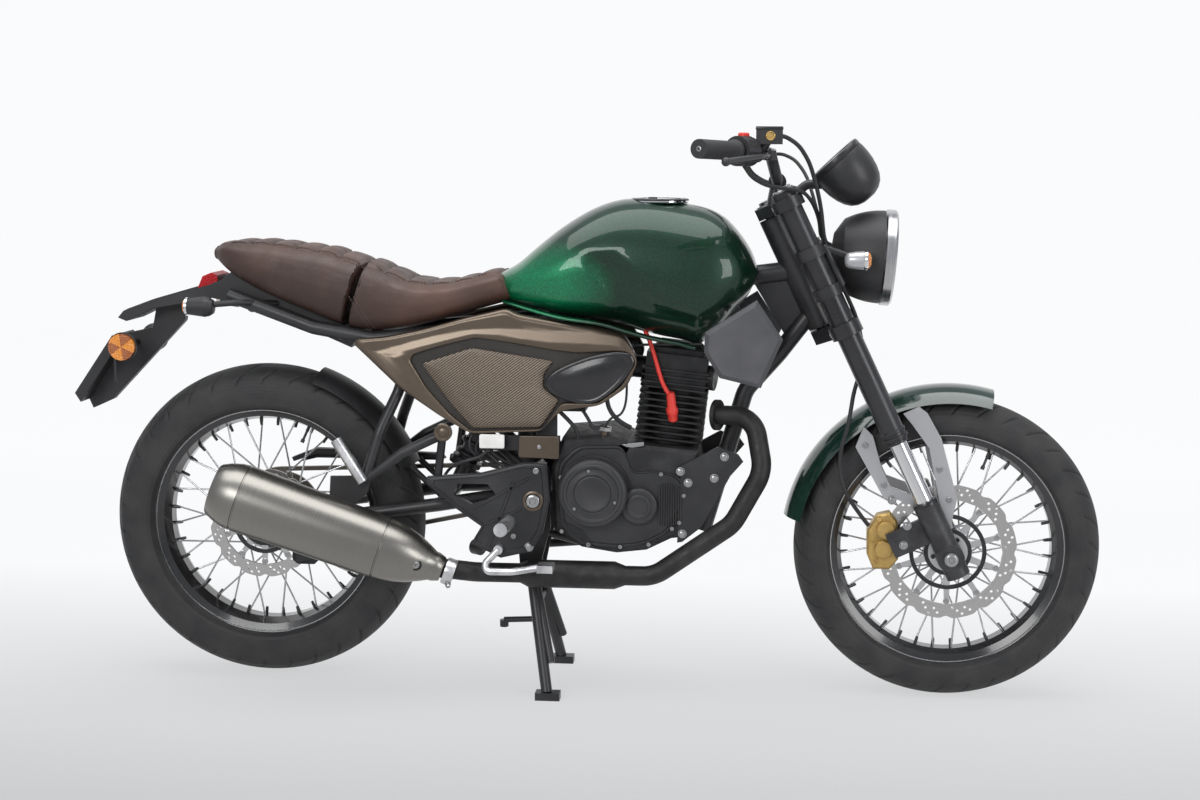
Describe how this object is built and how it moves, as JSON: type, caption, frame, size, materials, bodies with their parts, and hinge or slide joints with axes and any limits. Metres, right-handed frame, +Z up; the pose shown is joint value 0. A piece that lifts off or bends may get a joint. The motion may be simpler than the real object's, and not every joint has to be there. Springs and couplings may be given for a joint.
{
  "type": "retro roadster motorcycle",
  "caption": "Retro roadster motorcycle on its centre stand: spoked wheels, teardrop tank, tuck-and-roll seat, finned engine and slanted silencer.",
  "frame": {"origin": "on the floor under the middle of the machine's overall box", "axes": "+X forward, +Y to the rider's left, +Z up"},
  "size_m": [2.0229, 0.7596, 1.1067],
  "materials": {
    "black_frame": "satin black paint",
    "engine_black": "satin black engine paint",
    "tyre": "black tyre rubber",
    "rim_black": "gloss black",
    "disc_steel": "ground steel",
    "chrome": "bright chrome",
    "alloy": "bare alloy",
    "alloy_black": "black anodised alloy",
    "gold": "gold paint",
    "green": "deep green metallic lacquer",
    "dark_green": "deep green gloss",
    "bronze": "satin bronze",
    "weave": "fine weave pattern",
    "gloss_black": "gloss black",
    "grey": "matt grey",
    "black_plastic": "grained black",
    "rubber": "black rubber",
    "leather": "brown leather",
    "stainless": "brushed stainless",
    "pipe_black": "heatproof black",
    "chain_steel": "oiled steel",
    "glass": "clear",
    "red_lens": "red lens",
    "amber": "amber reflector"
  },
  "bodies": {
    "chassis": {"frame": "black_frame", "swingarm": "black_frame", "frame_pins": "chain_steel", "rear_shock": "black_frame", "engine_case": "engine_black", "engine_covers": "engine_black", "cylinder": "engine_black", "cylinder_head": "engine_black", "intake": "rubber", "exhaust_pipe": "pipe_black", "muffler": "stainless", "fuel_tank": "green", "rider_seat": "leather", "pillion_seat": "leather", "side_covers": "bronze", "side_panels": "weave", "oval_covers": "gloss_black", "shrouds": "grey", "tail_fender": "black_plastic", "plate_bracket": "black_plastic", "tail_light": "red_lens", "side_reflectors": "amber", "rear_lamps": "gloss_black", "peg_brackets": "black_frame", "foot_controls": "alloy", "rear_guards": "black_plastic", "chain": "chain_steel", "rear_caliper": "engine_black", "electrics": "black_plastic", "rear_axle": "chain_steel"},
    "steering": {"triple_clamps": "alloy_black", "fork_tubes": "alloy_black", "fork_stanchions": "chrome", "fork_lowers": "alloy_black", "handlebar": "black_frame", "handlebar_grips": "rubber", "hand_controls": "black_plastic", "hand_levers": "alloy_black", "headlight_bucket": "black_plastic", "headlight_ring": "alloy", "headlight_lens": "glass", "lamp_brackets": "black_frame", "instrument": "black_plastic", "front_fender": "dark_green", "fender_braces": "alloy", "front_caliper": "gold", "front_axle": "chain_steel", "control_cables": "rubber"},
    "front_wheel": {"front_tyre": "tyre", "front_rim": "rim_black", "front_hub": "alloy_black", "front_disc": "disc_steel"},
    "rear_wheel": {"rear_tyre": "tyre", "rear_rim": "rim_black", "rear_hub": "alloy_black", "rear_disc": "disc_steel", "sprocket": "chain_steel"},
    "centre_stand": {"centre_stand": "black_frame"},
    "side_stand": {"side_stand": "black_frame"},
    "fuel_cap": {"fuel_cap": "chrome"}
  },
  "joints": [
    {"name": "steering_turn", "type": "hinge", "parent": "chassis", "child": "steering", "pos_m": [0.42198, 0, 0.82068], "axis": [-0.4321, 0, 0.9018], "range_deg": [-35, 35]},
    {"name": "front_wheel_spin", "type": "hinge", "parent": "steering", "child": "front_wheel", "pos_m": [0.7155, 0, 0.296], "axis": [0, 1, 0], "continuous": true},
    {"name": "rear_wheel_spin", "type": "hinge", "parent": "chassis", "child": "rear_wheel", "pos_m": [-0.6315, 0, 0.323], "axis": [0, 1, 0], "continuous": true},
    {"name": "centre_stand_fold", "type": "hinge", "parent": "chassis", "child": "centre_stand", "pos_m": [-0.098, 0, 0.236], "axis": [0, 1, 0], "range_deg": [0, 70]},
    {"name": "side_stand_fold", "type": "hinge", "parent": "chassis", "child": "side_stand", "pos_m": [0.02, 0.114, 0.266], "axis": [0.3, -0.9539, 0], "range_deg": [0, 100], "stiffness_Nm_per_rad": 2, "springref_deg": -28.65},
    {"name": "fuel_cap_lid", "type": "hinge", "parent": "chassis", "child": "fuel_cap", "pos_m": [0.204, 0, 0.968], "axis": [0, 1, 0], "range_deg": [0, 95]}
  ]
}
